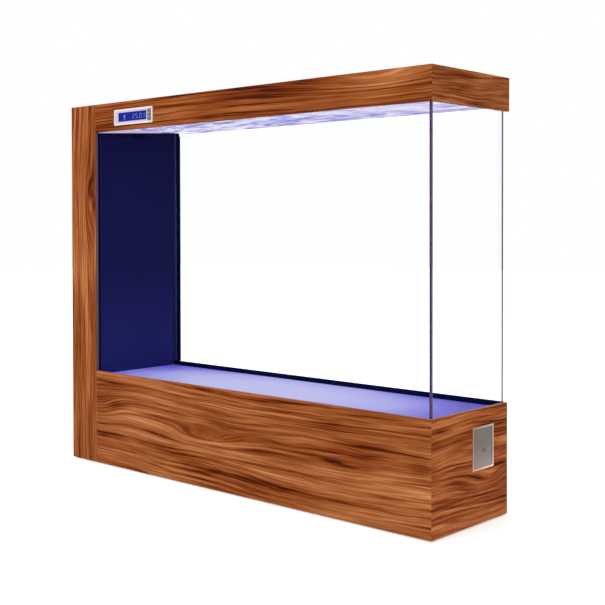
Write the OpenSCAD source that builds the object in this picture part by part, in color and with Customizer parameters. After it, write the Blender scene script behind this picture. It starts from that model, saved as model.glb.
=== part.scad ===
// Screen aquarium cabinet: a see-through glass tank on a low base, with a filter column at its left
// end and a hood on top. Millimetres, +Z up, front towards -Y.
// The origin is on the floor, at the middle of the footprint.

/* [Overall] */
// Length along the front
overall_l = 1500; // [1300:10:1800]
// Height from the floor to the top of the hood
overall_h = 1200; // [1000:10:1400]
// Depth of the hood and of the column
hood_depth = 364; // [362:2:420]

/* [Base] */
// Height of the base's rim
base_h = 310; // [310:5:400]
// Depth of the base
base_depth = 358; // [346:2:360]
// Height of the rubber pads under the boards
pad_h = 4; // [2:1:10]

/* [Column and hood] */
// Width of the filter column
column_w = 132; // [130:2:180]
// Height of the hood's boards
hood_h = 92; // [88:1:120]

/* [Boards and glass] */
// Thickness of the veneered boards
board = 10; // [9:1:12]
// Thickness of the rear boards
back_board = 4; // [3:1:6]
// Thickness of the glass
glass_t = 10; // [8:1:12]
// Thickness of the dark partition
partition_t = 8; // [6:1:10]

/* [Service hatch] */
// Width of the hatch's frame
hatch_w = 101; // [98:1:120]
// Height of the hatch's frame
hatch_h = 115; // [110:1:120]

/* [Controller] */
// Width of the controller's bezel
panel_w = 192; // [186:2:220]
// Height of the controller's bezel
panel_h = 51; // [48:1:64]
// How far the bezel stands out of the hood
panel_proud = 4; // [3:0.5:6]
// Travel of a key
key_travel = 0.8; // [0.4:0.1:1]

/* [Hidden] */
$fn = 48;

// Colours
wood = [0.60, 0.32, 0.17];
navy = [0.08, 0.08, 0.28];
clear = [0.85, 0.93, 0.96, 0.35];
steel = [0.62, 0.61, 0.60];
pale = [0.86, 0.84, 0.97];
plastic_grey = [0.55, 0.57, 0.60];
black = [0.10, 0.10, 0.11];

// Outer planes of the boards
left_x = -overall_l / 2;
right_x = overall_l / 2;
front_y = -hood_depth / 2 + panel_proud / 2;
hood_rear_y = front_y + hood_depth;
base_rear_y = front_y + base_depth;
column_x = left_x + column_w;
hatch_proud = 1.5;
base_right_x = right_x - hatch_proud;
hood_z = overall_h - hood_h;

// Inner planes of the boards
in_left = left_x + board;
in_front = front_y + board;
in_right = base_right_x - board;
in_hood_right = right_x - board;
in_rear = base_rear_y - back_board;
in_hood_rear = hood_rear_y - back_board;

// Levels in the base, from the floor up
bottom_t = 16;
deck_t = 18;
mat_t = 5;
floor_t = 3;
rim_above_floor = 12;
floor_z = base_h - rim_above_floor;
glass_base_z = floor_z - floor_t - glass_t;
deck_z = glass_base_z - mat_t - deck_t;
divider_z = pad_h + bottom_t;

// Glass box
play = 0.5;
glass_x0 = in_left + play;
glass_x1 = in_right - play;
glass_y0 = in_front + play;
trim_t = 1;
glass_y1 = in_rear - trim_t - play / 2;
post_w = 15;
bead = 2.5;
wide_bead = 7;
post_lap = 13;
wall_z = glass_base_z + glass_t;
glass_top = hood_z + 44;
tank_y0 = glass_y0 + glass_t;
tank_y1 = glass_y1 - glass_t;
tank_x1 = glass_x1 - glass_t;
sump_x0 = glass_x0 + glass_t;
sump_x1 = column_x - partition_t;
sump_mid_x = (sump_x0 + sump_x1) / 2;

// Lids and their hinge line
lid_t = 15;
lid_z = overall_h - lid_t;
hinge_r = 3.4;
hinge_z = overall_h - 3.5;
hinge_y = in_hood_rear - 45;
rail_y = hinge_y + 4.5;
lid_rear_y = hinge_y - 0.5;
lid_gap = 1;
notch_d = 4.5;
pin_r = 1.5;
running = 0.06;
pin_seat = 0.02;
leaf_l = 64;
leaf_w = 22;
leaf_t = 1.5;
leaf_z = [overall_h - leaf_t - 0.2, overall_h - 0.2];
outer_knuckles = [[-32, -12], [12, 32]];
inner_knuckle = [-11.7, 11.7];
canopy_x0 = column_x + lid_gap;
canopy_x1 = in_hood_right - lid_gap;
filter_lid_x1 = column_x - 2 * lid_gap;
canopy_hinge_x = [canopy_x0 + 130, (canopy_x0 + canopy_x1) / 2, canopy_x1 - 130];
filter_hinge_x = (in_left + filter_lid_x1) / 2;
hinge_x = concat(canopy_hinge_x, filter_hinge_x);

// Light box under the canopy lid
lamp_gap = 4;
spout_room = 92;
lamp_x0 = column_x + spout_room;
lamp_x1 = tank_x1 - lamp_gap;
lamp_y0 = tank_y0 + 12.5;
lamp_y1 = tank_y1 - lamp_gap;
lamp_z = hood_z + 9;
diffuser_t = 3;
lamp_wall = 1.5;
lamp_h = 28;
lamp_top = lamp_z + diffuser_t + lamp_h;

// Filter column
baffle_t = 6;
baffle_y = 74;
weir_slots = 20;
weir_pitch = 9;
weir_slot_w = 3;
weir_slot_h = 26;
weir_z = hood_z - 10;
weir_y = tank_y0 + 14;
return_y = baffle_y + baffle_t + 40;
return_z = hood_z + 28;
return_r = 8;
return_end = column_x + 10;
spout_x = column_x + 24;
spout_r = 10.5;
spout_drop = 13;
heater_y = 60;
heater_z = hood_z - 60;
tray_w = 96;
tray_d = 190;
tray_h = 210;
tray_wall = 3;
tray_y = tank_y0 + 6;
tray_free = 6;
tray_zs = [wall_z + 90, wall_z + 90 + tray_h + 12];

// Drain
drain_y = 30;
drain_z = 170;
drain_pipe_r = 12.5;
drain_bore_r = 10;
valve_x = in_right - 80;
spigot_r = 8;
spigot_l = 28;
stem_r = 4;
lever_z = drain_z + 31;

// Hatch, in the base's right end board
hatch_y = front_y + 236;
hatch_z = 205;
hatch_rim = 5;
lining_t = 2;
lining_depth = 20;
hatch_face = right_x;
door_face = hatch_face - 1;
door_t = 2;
barrel_r = 2.5;
open_w = hatch_w - 2 * hatch_rim;
open_h = hatch_h - 2 * hatch_rim;
barrel_x = door_face - barrel_r;
barrel_y = hatch_y + open_w / 2 - 5;
lock_y = hatch_y + 5;
lock_z = hatch_z - 8;
cam_l = lock_z - hatch_z + open_h / 2 - 1.5;
cam_x = door_face - 11;

// Controller on the hood's front
panel_x = left_x + 334;
panel_z = hood_z + 41;
screen_w = 141;
screen_h = 29;
screen_x = panel_x - 3.5;
key_w = 19;
key_h = 9;
key_x = panel_x + panel_w / 2 - 15.5;
key_pitch = 12;
key_gap = 0.3;
panel_face = front_y - panel_proud;

// Grommet in the column's rear board
cable_x = (left_x + column_x) / 2;
cable_z = 150;
cable_r = 20;
grommet_wall = 4;

// ---- Helpers ----

// A box between two planes along each axis
module block(x, y, z) {
    translate([x[0], y[0], z[0]]) cube([x[1] - x[0], y[1] - y[0], z[1] - z[0]]);
}

// A cylinder along +X, +Y or +Z from a starting point
module rod_x(p, r, l) { translate(p) rotate([0, 90, 0]) cylinder(r = r, h = l); }
module rod_y(p, r, l) { translate(p) rotate([-90, 0, 0]) cylinder(r = r, h = l); }
module rod_z(p, r, l) { translate(p) cylinder(r = r, h = l); }

// An upright board whose outline in plan is a polygon
module upright(outline, z) { translate([0, 0, z[0]]) linear_extrude(z[1] - z[0]) polygon(outline); }

// A flat rectangle with round corners, facing -Y, whose back is at y
module face_plate(x, z, w, h, y, t, r) {
    translate([x, y, z]) rotate([90, 0, 0]) linear_extrude(t)
        for (part = [[w - 2 * r, h], [w, h - 2 * r]]) square(part, center = true);
    for (sx = [-1, 1]) for (sz = [-1, 1])
        rod_y([x + sx * (w / 2 - r), y - t, z + sz * (h / 2 - r)], r, t);
}

// ---- Base ----

module base_front_panel() {
    color(wood) upright([
        [column_x, front_y], [base_right_x, front_y], [in_right, in_front], [column_x, in_front]
    ], [pad_h, base_h]);
}

module base_rear_panel() {
    color(wood) block([column_x, in_right], [in_rear, base_rear_y], [pad_h, base_h]);
}

module base_end_panel() {
    color(wood) difference() {
        upright([
            [base_right_x, front_y], [base_right_x, base_rear_y],
            [in_right, base_rear_y], [in_right, in_front]
        ], [pad_h, base_h]);
        hatch_prism([in_right - 1, right_x], open_w + 2 * lining_t + 0.6, open_h + 2 * lining_t + 0.6);
    }
}

module base_bottom_board() {
    color(wood) block([in_left, in_right], [in_front, in_rear], [pad_h, divider_z]);
}

module base_dividers() {
    color(wood) for (x = [column_x - board, column_x + 440, column_x + 890]) difference() {
        block([x, x + board], [in_front, in_rear], [divider_z, deck_z]);
        rod_x([x - 1, drain_y, drain_z], drain_pipe_r + 4, board + 2);
    }
}

module tank_deck() {
    color(wood) difference() {
        block([in_left, in_right], [in_front, in_rear], [deck_z, deck_z + deck_t]);
        rod_z([sump_mid_x, drain_y, deck_z - 1], 17, deck_t + 2);
    }
}

module levelling_mat() {
    color(black) difference() {
        block([glass_x0, glass_x1], [glass_y0, glass_y1], [deck_z + deck_t, glass_base_z]);
        rod_z([sump_mid_x, drain_y, deck_z], 17, deck_t + mat_t + 2);
    }
}

module foot_pads() {
    inset = 34;
    color(black) for (x = [left_x + inset, left_x + overall_l / 3, right_x - overall_l / 3, in_right - inset])
        for (y = [in_front + inset, in_rear - inset]) rod_z([x, y, 0], 24, pad_h);
}

// ---- Dark trim along the rear glass ----

module rear_trim_sill() {
    color(navy) {
        block([column_x, in_right], [in_rear - trim_t, in_rear], [glass_base_z, base_h]);
        block([column_x, in_right], [in_rear - trim_t, base_rear_y], [base_h, base_h + trim_t]);
    }
}

module rear_trim_post() {
    y = glass_y1 + play / 2;
    z0 = base_h + trim_t;
    color(navy) {
        block([column_x, column_x + post_lap], [y, hood_rear_y], [z0, hood_z + 6]);
        block([column_x - post_w, column_x + post_lap], [y, in_hood_rear], [z0, glass_top - 4]);
    }
}

// ---- Glass tank ----

module glass_bottom() {
    color(clear) difference() {
        block([glass_x0, glass_x1], [glass_y0, glass_y1], [glass_base_z, wall_z]);
        rod_z([sump_mid_x, drain_y, glass_base_z - 1], 17, glass_t + 2);
    }
}

module glass_front() {
    color(clear) block([glass_x0, glass_x1], [glass_y0, tank_y0], [wall_z, glass_top]);
}

module glass_rear() {
    color(clear) block([glass_x0, glass_x1], [tank_y1, glass_y1], [wall_z, glass_top]);
}

module glass_right() {
    color(clear) block([tank_x1, glass_x1], [tank_y0, tank_y1], [wall_z, glass_top]);
}

module glass_left() {
    color(clear) block([glass_x0, sump_x0], [tank_y0, tank_y1], [wall_z, glass_top]);
}

module tank_floor_panel() {
    color(pale) block([column_x, tank_x1], [tank_y0, tank_y1], [wall_z, floor_z]);
}

module partition_panel() {
    color(navy) difference() {
        block([sump_x1, column_x], [tank_y0, tank_y1], [wall_z, glass_top]);
        for (i = [0 : weir_slots - 1]) {
            y = weir_y + i * weir_pitch;
            block([sump_x1 - 1, column_x + 1], [y, y + weir_slot_w], [weir_z, weir_z + weir_slot_h]);
        }
        rod_x([sump_x1 - 1, return_y, return_z], return_r + 4, partition_t + 2);
    }
}

module filter_baffle() {
    color(clear) block([sump_x0, sump_x1], [baffle_y, baffle_y + baffle_t], [wall_z + 40, hood_z - 60]);
}

// A bead of silicone in an upright inside corner, with a leg along X and a leg along Y
module corner_bead(x, y, leg_x, leg_y, z) {
    upright([[x, y], [x + leg_x, y], [x, y + leg_y]], z);
}

module corner_seals() {
    color(navy) {
        for (side = [[tank_y0, bead], [tank_y1, -bead]]) {
            corner_bead(tank_x1, side[0], -bead, side[1], [floor_z, glass_top]);
            corner_bead(column_x, side[0], bead, side[1], [floor_z, glass_top]);
            corner_bead(sump_x0, side[0], bead, side[1], [wall_z, glass_top]);
        }
        corner_bead(sump_x1, tank_y0, -wide_bead, 2 * bead, [wall_z, glass_top]);
    }
}

// ---- Column ----

// Countersunk wood screw along -Y, head at the origin
module screw(grow) {
    rotate([90, 0, 0]) {
        cylinder(r1 = 3.4 + grow, r2 = 1.6 + grow, h = 2.4);
        cylinder(r = 1.6 + grow, h = 30);
    }
}

module column_screw_places() {
    for (z = [60, 340, 620, 900, 1150]) translate([in_left - board / 2, hood_rear_y, z]) children();
}

module column_front_panel() {
    color(wood) upright([
        [left_x, front_y], [column_x, front_y], [column_x, in_front], [in_left, in_front]
    ], [pad_h, overall_h]);
}

module column_side_panel() {
    color(wood) difference() {
        upright([
            [left_x, front_y], [in_left, in_front], [in_left, in_hood_rear], [left_x, in_hood_rear]
        ], [pad_h, overall_h]);
        column_screw_places() screw(0.05);
    }
}

module column_rear_panel() {
    color(wood) difference() {
        block([left_x, column_x], [in_hood_rear, hood_rear_y], [pad_h, overall_h]);
        column_screw_places() screw(0.05);
        rod_y([cable_x, in_hood_rear - 1, cable_z], cable_r + grommet_wall, back_board + 2);
        for (i = [0 : 5]) vent_slot(260 + 16 * i);
    }
}

module vent_slot(z) {
    slot_half = 30;
    block([cable_x - slot_half, cable_x + slot_half], [in_hood_rear - 1, hood_rear_y + 1], [z - 3, z + 3]);
    for (sx = [-1, 1]) rod_y([cable_x + sx * slot_half, in_hood_rear - 1, z], 3, back_board + 2);
}

module column_screws() {
    color(steel) column_screw_places() difference() {
        screw(0);
        block([-2.2, 2.2], [-1, 1], [-0.5, 0.5]);
        block([-0.5, 0.5], [-1, 1], [-2.2, 2.2]);
    }
}

module cable_grommet() {
    flange = 2;
    color(black) difference() {
        union() {
            rod_y([cable_x, in_hood_rear - flange, cable_z], cable_r + grommet_wall, back_board + flange);
            rod_y([cable_x, in_hood_rear - flange, cable_z], cable_r + grommet_wall + 4, flange);
        }
        rod_y([cable_x, in_hood_rear - flange - 1, cable_z], cable_r, back_board + flange + 2);
    }
}

// ---- Filter ----

// An open tray with a slotted floor
module media_tray(z) {
    x0 = sump_mid_x - tray_w / 2;
    difference() {
        block([x0, x0 + tray_w], [tray_y, tray_y + tray_d], [z, z + tray_h]);
        block([x0 + tray_wall, x0 + tray_w - tray_wall], [tray_y + tray_wall, tray_y + tray_d - tray_wall],
              [z + tray_wall, z + tray_h + 1]);
        for (i = [0 : 8]) {
            y = tray_y + 15 + i * 18;
            block([x0 + 12, x0 + tray_w - 12], [y, y + 6], [z - 1, z + tray_wall + 1]);
        }
    }
}

// What fills a tray, nearly up to its rim
module tray_fill(z) {
    x0 = sump_mid_x - tray_w / 2;
    block([x0 + tray_wall, x0 + tray_w - tray_wall], [tray_y + tray_wall, tray_y + tray_d - tray_wall],
          [z + tray_wall, z + tray_h - tray_free]);
}

module media_trays() { color(plastic_grey) for (z = tray_zs) media_tray(z); }
module ceramic_media() { color([0.9, 0.88, 0.82]) tray_fill(tray_zs[0]); }
module filter_foam() { color([0.2, 0.3, 0.5]) tray_fill(tray_zs[1]); }

module tray_rails() {
    rail_w = 11;
    color(black) for (z = tray_zs) for (x = [sump_x0, sump_x1 - rail_w])
        block([x, x + rail_w], [tray_y, tray_y + tray_d], [z - 8, z]);
}

module return_pump() {
    half = 30;
    color(black) {
        block([sump_mid_x - half, sump_mid_x + half], [return_y - half, return_y + half],
              [wall_z, wall_z + 70]);
        rod_z([sump_mid_x, return_y, wall_z + 70], 20, 22);
        for (dx = [-21, -7, 7, 21]) block([sump_mid_x + dx - 4, sump_mid_x + dx + 4],
            [return_y - half - 3, return_y - half], [wall_z + 10, wall_z + 56]);
    }
}

// Riser and cross pipe, through the partition
module return_pipe() {
    pump_top = wall_z + 92;
    color(plastic_grey) difference() {
        union() {
            rod_z([sump_mid_x, return_y, pump_top], 10, return_z - pump_top);
            translate([sump_mid_x, return_y, return_z]) sphere(r = 11);
            rod_x([sump_mid_x, return_y, return_z], return_r, return_end - sump_mid_x);
        }
        rod_z([sump_mid_x, return_y, pump_top - 1], 7, return_z - pump_top + 1);
        rod_x([sump_mid_x - 4, return_y, return_z], return_r - 2, return_end - sump_mid_x + 5);
    }
}

module return_grommet() {
    color(black) difference() {
        union() {
            rod_x([sump_x1, return_y, return_z], return_r + 4, partition_t);
            rod_x([sump_x1 - 2, return_y, return_z], return_r + 7, 2);
        }
        rod_x([sump_x1 - 3, return_y, return_z], return_r, partition_t + 4);
    }
}

// Elbow pushed onto the pipe's end, pouring down beside the lamp
module return_spout() {
    mouth_z = return_z - spout_drop;
    color(plastic_grey) difference() {
        union() {
            rod_x([column_x, return_y, return_z], spout_r, spout_x - column_x);
            translate([spout_x, return_y, return_z]) sphere(r = spout_r);
            rod_z([spout_x, return_y, mouth_z], spout_r, spout_drop);
        }
        rod_x([column_x - 1, return_y, return_z], return_r, return_end - column_x + 1);
        rod_x([column_x, return_y, return_z], return_r - 2, spout_x - column_x);
        rod_z([spout_x, return_y, mouth_z - 1], return_r - 2, spout_drop + 2);
    }
}

// Glass tube, cap and the two suction cups that hold it to the wall
module heater() {
    x = sump_x0 + 18;
    color(black) {
        rod_z([x, heater_y, heater_z - 40], 9, 40);
        rod_z([x, heater_y, heater_z - 300], 8, 261);
        for (z = [heater_z - 70, heater_z - 250]) {
            rod_x([sump_x0, heater_y, z], 9, 3);
            rod_x([sump_x0, heater_y, z], 4, 14);
        }
    }
}

// ---- Drain ----

module drain_bulkhead() {
    color(plastic_grey) difference() {
        union() {
            rod_z([sump_mid_x, drain_y, deck_z - 12], 16.5, wall_z - deck_z + 12);
            rod_z([sump_mid_x, drain_y, wall_z], 24, 6);
            translate([sump_mid_x, drain_y, deck_z - 12]) cylinder(r = 25, h = 12, $fn = 6);
        }
        rod_z([sump_mid_x, drain_y, deck_z - 13], drain_bore_r, 80);
    }
}

module drain_elbow() {
    color(plastic_grey) difference() {
        union() {
            rod_z([sump_mid_x, drain_y, drain_z - 19], 17, deck_z - 12 - drain_z + 19);
            rod_x([sump_mid_x, drain_y, drain_z], 16, 34);
        }
        rod_z([sump_mid_x, drain_y, drain_z], drain_bore_r, 120);
        rod_x([sump_mid_x, drain_y, drain_z], drain_bore_r - 0.5, 22);
        rod_x([sump_mid_x + 20, drain_y, drain_z], drain_pipe_r, 20);
    }
}

module drain_pipe() {
    x0 = sump_mid_x + 20;
    color(plastic_grey) difference() {
        rod_x([x0, drain_y, drain_z], drain_pipe_r, valve_x - 10 - x0);
        rod_x([x0 - 1, drain_y, drain_z], drain_bore_r, valve_x - x0);
    }
}

module drain_valve_body() {
    color(plastic_grey) difference() {
        union() {
            rod_x([valve_x - 28, drain_y, drain_z], 17, 56);
            translate([valve_x - 34, drain_y, drain_z]) rotate([0, 90, 0]) cylinder(r = 21, h = 14, $fn = 8);
            translate([valve_x + 20, drain_y, drain_z]) rotate([0, 90, 0]) cylinder(r = 21, h = 14, $fn = 8);
            rod_z([valve_x, drain_y, drain_z], 9, lever_z - drain_z);
            rod_x([valve_x + 30, drain_y, drain_z], spigot_r, spigot_l + 4);
        }
        rod_x([valve_x - 40, drain_y, drain_z], drain_pipe_r, 30);
        rod_x([valve_x + 9, drain_y, drain_z], spigot_r - 2.5, 80);
        rod_z([valve_x, drain_y, drain_z + 19], stem_r + running, 40);
    }
}

module drain_lever() {
    color([0.75, 0.1, 0.08]) {
        rod_z([valve_x, drain_y, drain_z + 20], stem_r, lever_z - drain_z - 19.5);
        rod_z([valve_x, drain_y, lever_z + 0.3], 11, 7);
        block([valve_x - 7, valve_x + 7], [drain_y - 62, drain_y], [lever_z + 1.3, lever_z + 6.3]);
    }
}

module power_box() {
    x0 = in_left + 8;
    y0 = in_rear - 60;
    color(black) block([x0, x0 + 78], [y0, y0 + 50], [divider_z, divider_z + 120]);
}

// ---- Hatch ----

// A rectangular prism through the end board, centred on the hatch
module hatch_prism(x, w, h) {
    block(x, [hatch_y - w / 2, hatch_y + w / 2], [hatch_z - h / 2, hatch_z + h / 2]);
}

module hatch_frame() {
    lining = [base_right_x - lining_depth, base_right_x + 0.5];
    color(steel) difference() {
        union() {
            hatch_prism([base_right_x, hatch_face], hatch_w, hatch_h);
            hatch_prism(lining, open_w + 2 * lining_t, open_h + 2 * lining_t);
        }
        hatch_prism([base_right_x - lining_depth - 1, hatch_face + 1], open_w, open_h);
        rod_z([barrel_x, barrel_y, hatch_z - hatch_h / 2], pin_r + pin_seat, hatch_h);
    }
    // strike tab for the lock's cam
    color(steel) block([cam_x + 3, cam_x + 5], [hatch_y - open_w / 2 - 0.5, lock_y - cam_l + 4],
                       [lock_z - 8, lock_z + 8]);
}

module hatch_pin() {
    color(steel) rod_z([barrel_x, barrel_y, hatch_z - open_h / 2 - lining_t], pin_r, open_h + 2 * lining_t);
}

module hatch_door() {
    gap = 0.6;
    free_y = hatch_y - open_w / 2 + gap;
    z = [hatch_z - open_h / 2 + gap, hatch_z + open_h / 2 - gap];
    color(steel) difference() {
        union() {
            block([door_face - door_t, door_face], [free_y, barrel_y], z);
            rod_z([barrel_x, barrel_y, z[0]], barrel_r, z[1] - z[0]);
        }
        rod_z([barrel_x, barrel_y, z[0] - 1], pin_r + running, open_h + 2);
        rod_x([door_face - door_t - 1, lock_y, lock_z], 5 + running, door_t + 2);
    }
}

// Quarter-turn latch, drawn released: its cam hangs down
module hatch_lock() {
    color(steel) difference() {
        union() {
            rod_x([cam_x, lock_y, lock_z], 5, door_face - cam_x);
            rod_x([door_face, lock_y, lock_z], 6.5, 0.9);
            block([cam_x, cam_x + 2], [lock_y - 4.5, lock_y + 4.5], [lock_z - cam_l, lock_z]);
        }
        block([door_face - 1, hatch_face], [lock_y - 4, lock_y + 4], [lock_z - 0.8, lock_z + 0.8]);
    }
}

// ---- Hood ----

module hood_front_panel() {
    color(wood) difference() {
        upright([
            [column_x, front_y], [right_x, front_y], [in_hood_right, in_front], [column_x, in_front]
        ], [hood_z, overall_h]);
        block([panel_x - panel_w / 2 + 4, panel_x + panel_w / 2 - 4], [front_y - 1, in_front + 1],
              [panel_z - panel_h / 2 + 4, panel_z + panel_h / 2 - 4]);
    }
}

module hood_end_panel() {
    color(wood) upright([
        [right_x, front_y], [right_x, hood_rear_y], [in_hood_right, hood_rear_y], [in_hood_right, in_front]
    ], [hood_z, overall_h]);
}

module hood_rear_panel() {
    color(wood) block([column_x, in_hood_right], [in_hood_rear, hood_rear_y], [hood_z + 6, overall_h]);
}

// Fixed board behind the lids, pocketed for the hinge leaves
module hinge_rail() {
    color(wood) difference() {
        block([in_left, in_hood_right], [rail_y, in_hood_rear], [lid_z, overall_h]);
        for (x = hinge_x) block([x - leaf_l / 2 - 0.2, x + leaf_l / 2 + 0.2],
                                [rail_y - 1, rail_y + leaf_w + 0.2], [leaf_z[0], overall_h + 1]);
    }
}

// Lid ledges, glass bearers and the cross rail between the two lids
module hood_cleats() {
    ledge = 6;
    bearer = 9;
    cross_w = 16;
    cross_x = column_x - 2 - cross_w;
    color(wood) {
        block([column_x, in_hood_right], [in_front, in_front + ledge], [lid_z - 12, lid_z]);
        block([in_left, cross_x - 2], [in_front, in_front + ledge], [lid_z - 12, lid_z]);
        block([cross_x, cross_x + cross_w], [in_front, in_hood_rear], [glass_top, lid_z]);
        block([column_x, in_hood_right], [in_front, in_front + bearer], [glass_top, glass_top + 10]);
        block([column_x, in_hood_right], [tank_y1 + 3, in_hood_rear], [glass_top, glass_top + 10]);
    }
}

// Knuckles of one hinge, at the given stretches along X, with their bore
module knuckles(x, stretches) {
    for (s = stretches) difference() {
        rod_x([x + s[0], hinge_y, hinge_z], hinge_r, s[1] - s[0]);
        rod_x([x + s[0] - 1, hinge_y, hinge_z], pin_r + running, s[1] - s[0] + 2);
    }
}

// The leaf's tongue meets the knuckle above its bore
module fixed_leaf(x) {
    knuckles(x, outer_knuckles);
    for (s = outer_knuckles)
        block([x + s[0], x + s[1]], [hinge_y + 1, rail_y + 1], leaf_z);
    block([x - leaf_l / 2, x + leaf_l / 2], [rail_y, rail_y + leaf_w], leaf_z);
}

module moving_leaf(x) {
    knuckles(x, [inner_knuckle]);
    block([x + inner_knuckle[0], x + inner_knuckle[1]], [lid_rear_y - notch_d - 1, hinge_y - 1], leaf_z);
    block([x - leaf_l / 2, x + leaf_l / 2], [lid_rear_y - notch_d - leaf_w, lid_rear_y - notch_d], leaf_z);
}

// Fixed leaves and pins of all the lid hinges
module hinge_set() {
    color(steel) for (x = hinge_x) {
        fixed_leaf(x);
        rod_x([x - leaf_l / 2, hinge_y, hinge_z], pin_r, leaf_l);
    }
}

// ---- Lids ----

// A lid board with pockets for its hinges and a finger notch in its front edge
module lid_board(x, hinges, notch_x) {
    notch_r = 15;
    difference() {
        block(x, [in_front + lid_gap, lid_rear_y], [lid_z, overall_h]);
        for (h = hinges) {
            block([h - leaf_l / 2 - 0.5, h + leaf_l / 2 + 0.5], [lid_rear_y - notch_d, lid_rear_y + 1],
                  [lid_z - 1, overall_h + 1]);
            block([h - leaf_l / 2 - 0.2, h + leaf_l / 2 + 0.2],
                  [lid_rear_y - notch_d - leaf_w - 0.2, lid_rear_y - notch_d + 1], [leaf_z[0], overall_h + 1]);
        }
        rod_z([notch_x, in_front + lid_gap - 3, lid_z - 1], notch_r, lid_t + 2);
    }
}

module canopy_lid() {
    color(wood) lid_board([canopy_x0, canopy_x1], canopy_hinge_x, (canopy_x0 + canopy_x1) / 2);
}

module canopy_hinge_leaves() {
    color(steel) for (x = canopy_hinge_x) moving_leaf(x);
}

module filter_lid() {
    color(wood) lid_board([in_left + lid_gap, filter_lid_x1], [filter_hinge_x], filter_hinge_x);
}

module filter_hinge_leaf() {
    color(steel) moving_leaf(filter_hinge_x);
}

// Shallow lamp housing, hung from the lid by hangers
module light_box() {
    inside = lamp_top - lamp_wall;
    color([0.9, 0.9, 0.92]) {
        difference() {
            block([lamp_x0, lamp_x1], [lamp_y0, lamp_y1], [lamp_z + diffuser_t, lamp_top]);
            block([lamp_x0 + lamp_wall, lamp_x1 - lamp_wall], [lamp_y0 + lamp_wall, lamp_y1 - lamp_wall],
                  [lamp_z, inside]);
        }
        for (x = [lamp_x0 + 60, (lamp_x0 + lamp_x1) / 2 - 10, lamp_x1 - 80])
            for (y = [lamp_y0 + 30, hinge_y - 90]) block([x, x + 20], [y, y + 50], [lamp_top, lid_z]);
    }
    color([1, 0.98, 0.85]) for (y = [lamp_y0 + 60, (lamp_y0 + lamp_y1) / 2, lamp_y1 - 60])
        block([lamp_x0 + 20, lamp_x1 - 20], [y - 6, y + 6], [inside - 2, inside]);
}

module light_diffuser() {
    color(pale) block([lamp_x0, lamp_x1], [lamp_y0, lamp_y1], [lamp_z, lamp_z + diffuser_t]);
}

// ---- Controller ----

module key_places() {
    for (i = [-1 : 1]) translate([key_x, 0, panel_z + i * key_pitch]) children();
}

module control_panel() {
    color([0.86, 0.86, 0.90]) difference() {
        union() {
            face_plate(panel_x, panel_z, panel_w, panel_h, front_y, panel_proud, 4);
            block([panel_x - panel_w / 2 + 6, panel_x + panel_w / 2 - 6], [front_y, in_front - 1],
                  [panel_z - panel_h / 2 + 6, panel_z + panel_h / 2 - 6]);
        }
        block([screen_x - screen_w / 2, screen_x + screen_w / 2], [panel_face - 1, front_y - 0.5],
              [panel_z - screen_h / 2, panel_z + screen_h / 2]);
        key_places() {
            block([-key_w / 2 - key_gap, key_w / 2 + key_gap], [panel_face - 1, front_y],
                  [-key_h / 2 - key_gap, key_h / 2 + key_gap]);
            rod_y([0, front_y - 1, 0], 2 + running, 6);
        }
    }
}

module control_display() {
    color([0.05, 0.09, 0.55]) block([screen_x - screen_w / 2, screen_x + screen_w / 2],
        [front_y - 2.5, front_y - 0.5], [panel_z - screen_h / 2, panel_z + screen_h / 2]);
}

// A key and its stem, one place up or down from the middle of the column
module key(place) {
    z = panel_z + place * key_pitch;
    color([0.62, 0.65, 0.68]) {
        block([key_x - key_w / 2, key_x + key_w / 2], [panel_face + 0.2, front_y - key_travel - 0.2],
              [z - key_h / 2, z + key_h / 2]);
        rod_y([key_x, front_y - key_travel - 1, z], 2, 4);
    }
}

module key_up() { key(1); }
module key_set() { key(0); }
module key_down() { key(-1); }

base_front_panel();
base_rear_panel();
base_end_panel();
base_bottom_board();
base_dividers();
tank_deck();
levelling_mat();
foot_pads();
rear_trim_sill();
rear_trim_post();
glass_bottom();
glass_front();
glass_rear();
glass_right();
glass_left();
tank_floor_panel();
partition_panel();
filter_baffle();
corner_seals();
column_front_panel();
column_side_panel();
column_rear_panel();
column_screws();
cable_grommet();
media_trays();
filter_foam();
ceramic_media();
tray_rails();
return_pump();
return_pipe();
return_grommet();
return_spout();
heater();
drain_bulkhead();
drain_elbow();
drain_pipe();
drain_valve_body();
drain_lever();
power_box();
hatch_frame();
hatch_pin();
hatch_door();
hatch_lock();
hood_front_panel();
hood_end_panel();
hood_rear_panel();
hinge_rail();
hood_cleats();
hinge_set();
canopy_lid();
canopy_hinge_leaves();
light_box();
light_diffuser();
filter_lid();
filter_hinge_leaf();
control_panel();
control_display();
key_up();
key_set();
key_down();
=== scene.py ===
"""Looks for the screen aquarium cabinet: materials, small modelled details, floor, light and camera."""
import math

import bmesh
import bpy
from mathutils import Matrix, Vector


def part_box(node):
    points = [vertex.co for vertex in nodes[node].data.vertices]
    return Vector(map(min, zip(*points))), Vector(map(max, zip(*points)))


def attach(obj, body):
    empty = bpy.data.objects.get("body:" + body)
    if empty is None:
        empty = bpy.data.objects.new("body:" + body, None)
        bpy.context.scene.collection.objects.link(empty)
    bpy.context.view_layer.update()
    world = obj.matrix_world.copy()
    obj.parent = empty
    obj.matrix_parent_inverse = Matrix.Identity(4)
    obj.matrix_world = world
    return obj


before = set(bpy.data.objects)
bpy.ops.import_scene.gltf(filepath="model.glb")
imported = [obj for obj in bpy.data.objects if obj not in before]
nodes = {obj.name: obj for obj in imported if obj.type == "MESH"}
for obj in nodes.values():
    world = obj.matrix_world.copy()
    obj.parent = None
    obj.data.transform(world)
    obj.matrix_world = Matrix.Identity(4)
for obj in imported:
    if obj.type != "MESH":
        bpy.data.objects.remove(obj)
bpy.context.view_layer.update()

AXES = {"X": 0, "Y": 1, "Z": 2}


# ---- Shader graph helper ----

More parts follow.
